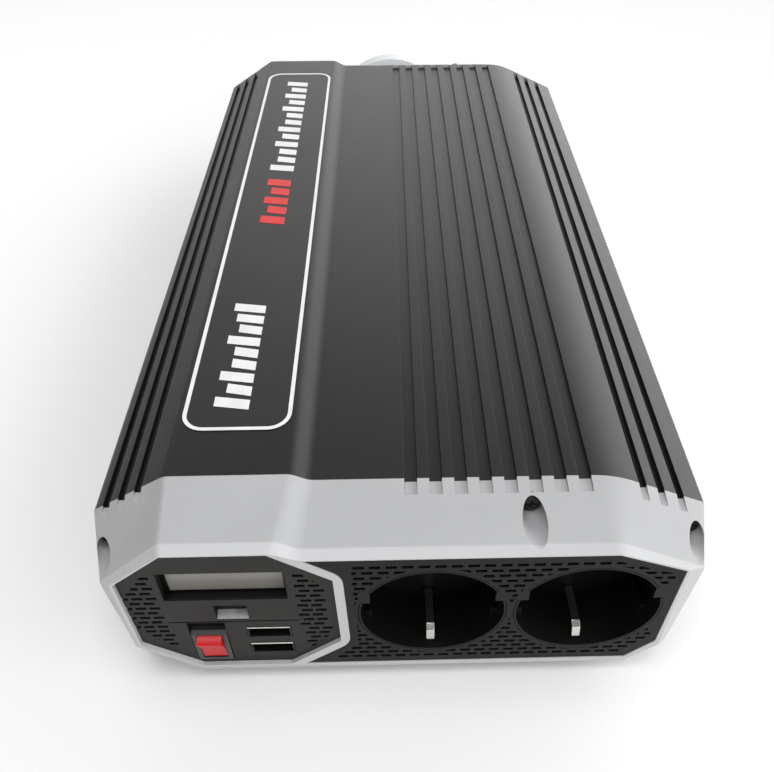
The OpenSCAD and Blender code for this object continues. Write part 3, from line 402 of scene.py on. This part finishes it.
def rounded_box(x0, y0, x1, y1, radius, steps=8):
    """The corners of a rounded rectangle, in order."""
    outline = []
    for cx, cy, start in ((x1, y1, 0), (x0, y1, 90), (x0, y0, 180), (x1, y0, 270)):
        inward = (-1 if cx == x1 else 1, -1 if cy == y1 else 1)
        for i in range(steps + 1):
            a = math.radians(start + 90 * i / steps)
            outline.append((cx + radius * (inward[0] + math.cos(a)),
                            cy + radius * (inward[1] + math.sin(a))))
    return outline


def lathe(bm, profile, centre, axis="Y", steps=48, closed=False):
    """Turns a profile of (radius, distance) points about an axis through centre; end points may lie on it."""
    def at(radius, along, a):
        offset = PLACES[axis](radius * math.cos(a), radius * math.sin(a), along)
        return [c + o for c, o in zip(centre, offset)]

    rings = []
    for radius, along in profile:
        if radius == 0:
            rings.append([bm.verts.new(at(0, along, 0))] * steps)
        else:
            rings.append([bm.verts.new(at(radius, along, 2 * math.pi * i / steps)) for i in range(steps)])
    pairs = list(zip(rings, rings[1:]))
    if closed:
        pairs.append((rings[-1], rings[0]))
    for first, second in pairs:
        for i in range(steps):
            k = (i + 1) % steps
            corners = []
            for vert in (first[i], first[k], second[k], second[i]):
                if vert not in corners:
                    corners.append(vert)
            if len(corners) > 2:
                bm.faces.new(corners)


# ---------------------------------------------------------------- label print
INK_T = 0.1
BORDER_W = 1.15
BORDER_R = 6.5
BAR_LEAN = 1.6  # how far a bar's far end leans along the label

# Name, finish, near and far edge of the tallest bar in x, first and last place in y, share of each
# bar's pitch that is inked, and each bar's share of the row's height
BAR_ROWS = (
    ("label_front_bars", "white_ink", (-43.2, -53.4), (-125.5, -76.0), 0.7,
     (1, 0.72, 1, 0.72, 0.72, 1, 0.72, 0.86, 1)),
    ("label_red_bars", "red_ink", (-41.8, -51.2), (-28.0, 7.0), 0.7, (1, 0.78, 1, 0.78, 1)),
    ("label_rear_bars", "white_ink", (-41.6, -51.5), (12.5, 104.5), 0.62,
     (1, 0.75, 0.75, 1, 0.75, 1, 0.75, 0.75, 1, 0.75, 1, 0.75, 1)))


def add_label_border():
    low, high = box_mm("label_plate")
    outer = rounded_box(low.x, low.y, high.x, high.y, BORDER_R)
    inner = rounded_box(low.x + BORDER_W, low.y + BORDER_W, high.x - BORDER_W, high.y - BORDER_W,
                        BORDER_R - BORDER_W)
    bm = bmesh.new()
    prism(bm, outer, high.z, high.z + INK_T, hole=inner)
    piece("label_border", bm, "white_ink")


def add_bars(name, finish, reach, row, fill, shares):
    """A row of slanted bars across the label, each as tall as its share of the row's height."""
    top = box_mm("label_plate")[1].z
    near, far = reach
    pitch = (row[1] - row[0]) / len(shares)
    bm = bmesh.new()
    for i, share in enumerate(shares):
        start = row[0] + i * pitch
        end = start + pitch * fill
        tall = near + (far - near) * share
        prism(bm, [(near, start), (near, end), (tall, end + BAR_LEAN), (tall, start + BAR_LEAN)],
              top, top + INK_T)
    piece(name, bm, finish)


add_label_border()
for bar_row in BAR_ROWS:
    add_bars(*bar_row)


# ---------------------------------------------------------------- control panel details
MASK_SIDE = 1.4
MASK_EDGE = 0.6
MASK_GAP = 0.02  # between the mask and the window
MASK_T = 0.06
PORT_H = 5.6  # a USB shell's outer height
PORT_WALL = 0.42
LINER_T = 0.18
LINER_FRONT = 0.25
LINER_BACK = 10.0
LINER_BACK_T = 0.5
LIP_END = 0.25  # gap between a lip's end and the shell's corner
CONTACT_COUNT = 4
CONTACT_PITCH = 2.4
CONTACT_W = 1.0
CONTACT_T = 0.1
CONTACT_FRONT = 2.2
CONTACT_BACK = 9.0


def add_display_mask():
    """A black printed mask round the display."""
    low, high = box_mm("lcd_window")
    inner = rectangle(low.x + MASK_SIDE, low.z + MASK_EDGE, high.x - MASK_SIDE, high.z - MASK_EDGE)
    back = low.y - MASK_GAP
    bm = bmesh.new()
    prism(bm, rectangle(low.x, low.z, high.x, high.z), back - MASK_T, back, "Y", inner)
    piece("display_mask", bm, "black_plastic")


def add_usb_details():
    """A black liner in each port, a dark sheet that stands in for the shade inside it, gilt contacts under
    its tongue and a bright lip along its top.
    """
    low, high = box_mm("usb_shells")
    shade_liners, contacts, lips = bmesh.new(), bmesh.new(), bmesh.new()
    for bottom in (low.z, high.z - PORT_H):
        top = bottom + PORT_H
        outer = rectangle(low.x, bottom, high.x, top, PORT_WALL)
        inner = rectangle(low.x, bottom, high.x, top, PORT_WALL + LINER_T)
        # painted shade: a black sheet inside the port's walls and across its back
        prism(shade_liners, outer, low.y + LINER_FRONT, low.y + LINER_BACK, "Y", inner)
        prism(shade_liners, outer, low.y + LINER_BACK, low.y + LINER_BACK + LINER_BACK_T, "Y")
        # The lip's section, from its front edge back to the shell's top wall
        lip = [(low.y - 0.12, top - 0.5), (low.y - 0.12, top - 0.1), (low.y + 0.4, top + 0.02),
               (low.y + 0.4, top - 0.6)]
        prism(lips, lip, low.x + LIP_END, high.x - LIP_END, "X")
        middle_x, middle_z = (low.x + high.x) / 2, bottom + PORT_H / 2
        for i in range(CONTACT_COUNT):
            x = middle_x + (i - (CONTACT_COUNT - 1) / 2) * CONTACT_PITCH
            cuboid(contacts, (x - CONTACT_W / 2, low.y + CONTACT_FRONT, middle_z),
                   (x + CONTACT_W / 2, low.y + CONTACT_BACK, middle_z + CONTACT_T))
    piece("usb_shade_liners", shade_liners, "black_plastic")
    piece("usb_contacts", contacts, "brass")
    piece("usb_lips", lips, "nickel_steel")


add_display_mask()
add_usb_details()


# ---------------------------------------------------------------- terminals, fan and feet
STUD_CHAMFER = 0.8
THREAD_SHARE = 0.55  # thread depth as a share of the pitch


def threaded_end(bm, x, z, y0, y1, radius, pitch, steps=40, rings_per_pitch=8):
    """A stud with a real helical thread from y0 to y1 and a chamfered free end."""
    count = int((y1 - y0) / pitch * rings_per_pitch)
    rings = []
    for j in range(count + 1):
        y = y0 + (y1 - y0) * j / count
        ring = []
        for i in range(steps):
            phase = (y / pitch - i / steps) % 1.0
            cut = THREAD_SHARE * pitch * abs(2 * phase - 1)
            chamfer = max(0.0, STUD_CHAMFER - (y1 - y))
            r = radius - max(cut, chamfer)
            a = 2 * math.pi * i / steps
            ring.append(bm.verts.new((x + r * math.cos(a), y, z + r * math.sin(a))))
        rings.append(ring)
    for first, second in zip(rings, rings[1:]):
        join_rings(bm, first, second)
    bm.faces.new(rings[0])
    bm.faces.new(rings[-1])


def add_studs(name, stud_node, washers, radius, pitch):
    """One threaded stud through the middle of each washer, in place of a plain CAD node."""
    low, high = box_mm(stud_node)
    bm = bmesh.new()
    for washer in washers:
        a, b = box_mm(washer)
        threaded_end(bm, (a.x + b.x) / 2, (a.z + b.z) / 2, low.y, high.y, radius, pitch)
    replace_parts(piece(name, bm, "brass"), stud_node)


FAN_Z = 33.0
HUB_R = 10.0
HUB_WALL = 1.6
HUB_OPEN = 3.1  # gap behind the hub's open end
BLADE_TIP_R = 21.9
BLADE_COUNT = 7
BLADE_T = 0.8
BLADE_SKEW = 0.5  # how far a blade's thickness reaches round the shaft
BLADE_SUNK = 0.4  # how far a blade's root goes into the hub
BLADE_BACK = 3.4  # gap behind the blades
BLADE_HALF_DEPTH = 4.3  # along the shaft
BLADE_CAMBER = 0.7
BLADE_ARC = 0.42  # half the angle that a blade's root spans, in radians
BLADE_TAPER = 0.10  # how much less its tip spans
BLADE_SWEEP = 0.28  # how far its tip is turned past its root
SHAFT_R = 1.4


def add_blade(bm, centre, turn, middle):
    """One closed, swept and twisted fan blade that starts at the angle turn."""
    spans, chords = 6, 8
    root = HUB_R - BLADE_SUNK
    sides = []
    for side in (-0.5, 0.5):
        grid = []
        for i in range(spans + 1):
            t = i / spans
            radius = root + (BLADE_TIP_R - root) * t
            arc = BLADE_ARC - BLADE_TAPER * t
            row = []
            for j in range(chords + 1):
                c = 2 * j / chords - 1
                a = turn + BLADE_SWEEP * t + arc * c + side * BLADE_SKEW / radius
                y = middle + BLADE_HALF_DEPTH * c + BLADE_CAMBER * (c * c - 0.5) + side * BLADE_T
                row.append(bm.verts.new((centre[0] + radius * math.cos(a), y,
                                         centre[2] + radius * math.sin(a))))
            grid.append(row)
        sides.append(grid)
        for i in range(spans):
            for j in range(chords):
                bm.faces.new((grid[i][j], grid[i + 1][j], grid[i + 1][j + 1], grid[i][j + 1]))
    rim = ([(i, 0) for i in range(spans)] + [(spans, j) for j in range(chords)]
           + [(i, chords) for i in range(spans, 0, -1)] + [(0, j) for j in range(chords, 0, -1)])
    join_rings(bm, [sides[0][i][j] for i, j in rim], [sides[1][i][j] for i, j in rim])


def add_impeller():
    """A hub with a rounded nose, a shaft and twisted blades."""
    low, high = box_mm("fan_rotor")
    centre = ((low.x + high.x) / 2, 0, FAN_Z)
    back, nose = low.y + HUB_OPEN, high.y
    inner_r = HUB_R - HUB_WALL
    middle = (low.y + BLADE_BACK + nose) / 2
    bm = bmesh.new()
    lathe(bm, [(inner_r, back), (HUB_R, back), (HUB_R, nose - 1.2), (HUB_R - 0.4, nose - 0.4),
               (HUB_R - 1.4, nose), (0, nose), (0, nose - HUB_WALL), (inner_r, nose - HUB_WALL)],
          centre, closed=True)
    lathe(bm, [(0, low.y), (SHAFT_R, low.y), (SHAFT_R, nose - 1.5), (0, nose - 1.5)], centre, steps=24)
    for blade in range(BLADE_COUNT):
        add_blade(bm, centre, 2 * math.pi * blade / BLADE_COUNT, middle)
    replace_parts(piece("impeller", bm, "fan_plastic", body="fan_rotor"), "fan_rotor")


FOOT_R = 8.0


def add_feet():
    """Rubber feet with a rounded rim and a sunk screw."""
    low, high = box_mm("rubber_feet")
    foot = [(0, 1.2), (3.1, 1.2), (3.2, 0.15), (3.5, 0), (FOOT_R - 0.9, 0), (FOOT_R - 0.25, 0.25),
            (FOOT_R, 0.9), (FOOT_R, high.z), (0, high.z)]
    screw = [(0, 0.55), (1.5, 0.6), (2.5, 0.9), (2.6, 1.3), (0, 1.3)]
    rubber, screws = bmesh.new(), bmesh.new()
    for x in (low.x + FOOT_R, high.x - FOOT_R):
        for y in (low.y + FOOT_R, high.y - FOOT_R):
            lathe(rubber, foot, (x, y, 0), "Z")
            lathe(screws, screw, (x, y, 0), "Z", 32)
    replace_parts(piece("feet", rubber, "rubber"), "rubber_feet")
    piece("foot_screws", screws, "zinc_steel")


add_studs("battery_threads", "battery_studs", ("positive_washer", "negative_washer"), 4.0, 1.25)
add_studs("ground_thread", "ground_stud", ("ground_washer",), 3.0, 1.0)
add_impeller()
add_feet()


# ---------------------------------------------------------------- floor and light
FLOOR_HALF = 6.0
KEY_PLACE = Vector((-0.1, -0.3, 1.6))
KEY_AIM = Vector((0, 0, 0.03))
KEY_SIZE = 1.2
KEY_WATTS = 17
SKY_STRENGTH = 2.0
# The sine of the height above the horizon, and the brightness there
SKY_HEIGHTS = ((0.0, 1.0), (0.45, 1.0), (0.57, 0.95), (0.66, 0.6), (0.74, 0.1), (1.0, 0.06))
SKY_SIDES = (("X", 0.1, 1.25), ("Y", 0.95, 1.15))  # brightness at the low and high end of each axis
SKY_REACH = 0.8  # how far along an axis a side's brightness goes on changing


def add_floor():
    half = FLOOR_HALF
    mesh = bpy.data.meshes.new("floor")
    corners = [(x, y, 0) for x, y in rectangle(-half, -half, half, half)]
    mesh.from_pydata(corners, [], [(0, 1, 2, 3)])
    floor = bpy.data.objects.new("floor", mesh)
    bpy.context.scene.collection.objects.link(floor)
    mesh.materials.append(surface("floor", (0.86, 0.86, 0.86), (0.88, 0.88, 0.88), 0.9, patch_mm=400,
                                  grain_mm=3, grain_depth=0.0))


def add_key():
    """A broad soft lamp above the control side."""
    data = bpy.data.lights.new("key", "AREA")
    data.shape = "DISK"
    data.size = KEY_SIZE
    data.energy = KEY_WATTS
    light = bpy.data.objects.new("key", data)
    bpy.context.scene.collection.objects.link(light)
    light.location = KEY_PLACE
    light.rotation_mode = "QUATERNION"
    light.rotation_quaternion = (KEY_AIM - KEY_PLACE).to_track_quat("-Z", "Y")


def add_sky():
    """Soft light: bright to 35 degrees above the horizon, dim overhead and from the left."""
    world = bpy.data.worlds.new("studio")
    world.use_nodes = True
    tree = world.node_tree
    background = tree.nodes["Background"]
    place = tree.nodes.new("ShaderNodeTexCoord")
    split = tree.nodes.new("ShaderNodeSeparateXYZ")
    ramp = tree.nodes.new("ShaderNodeValToRGB")
    tree.links.new(place.outputs["Generated"], split.inputs["Vector"])
    tree.links.new(split.outputs["Z"], ramp.inputs["Fac"])
    colour = ramp.outputs["Color"]
    for axis, low, high in SKY_SIDES:
        side = tree.nodes.new("ShaderNodeMapRange")
        side.inputs["From Min"].default_value = -SKY_REACH
        side.inputs["From Max"].default_value = SKY_REACH
        side.inputs["To Min"].default_value = low
        side.inputs["To Max"].default_value = high
        scale = tree.nodes.new("ShaderNodeVectorMath")
        scale.operation = "SCALE"
        tree.links.new(split.outputs[axis], side.inputs["Value"])
        tree.links.new(colour, scale.inputs[0])
        tree.links.new(side.outputs["Result"], scale.inputs["Scale"])
        colour = scale.outputs["Vector"]
    tree.links.new(colour, background.inputs["Color"])
    stops = ramp.color_ramp.elements
    while len(stops) < len(SKY_HEIGHTS):
        stops.new(0.5)
    for stop, (position, level) in zip(stops, SKY_HEIGHTS):
        stop.position = position
        stop.color = (level, level, level, 1)
    background.inputs["Strength"].default_value = SKY_STRENGTH
    bpy.context.scene.world = world


add_floor()
add_sky()
add_key()
bpy.context.scene.view_settings.view_transform = "Standard"
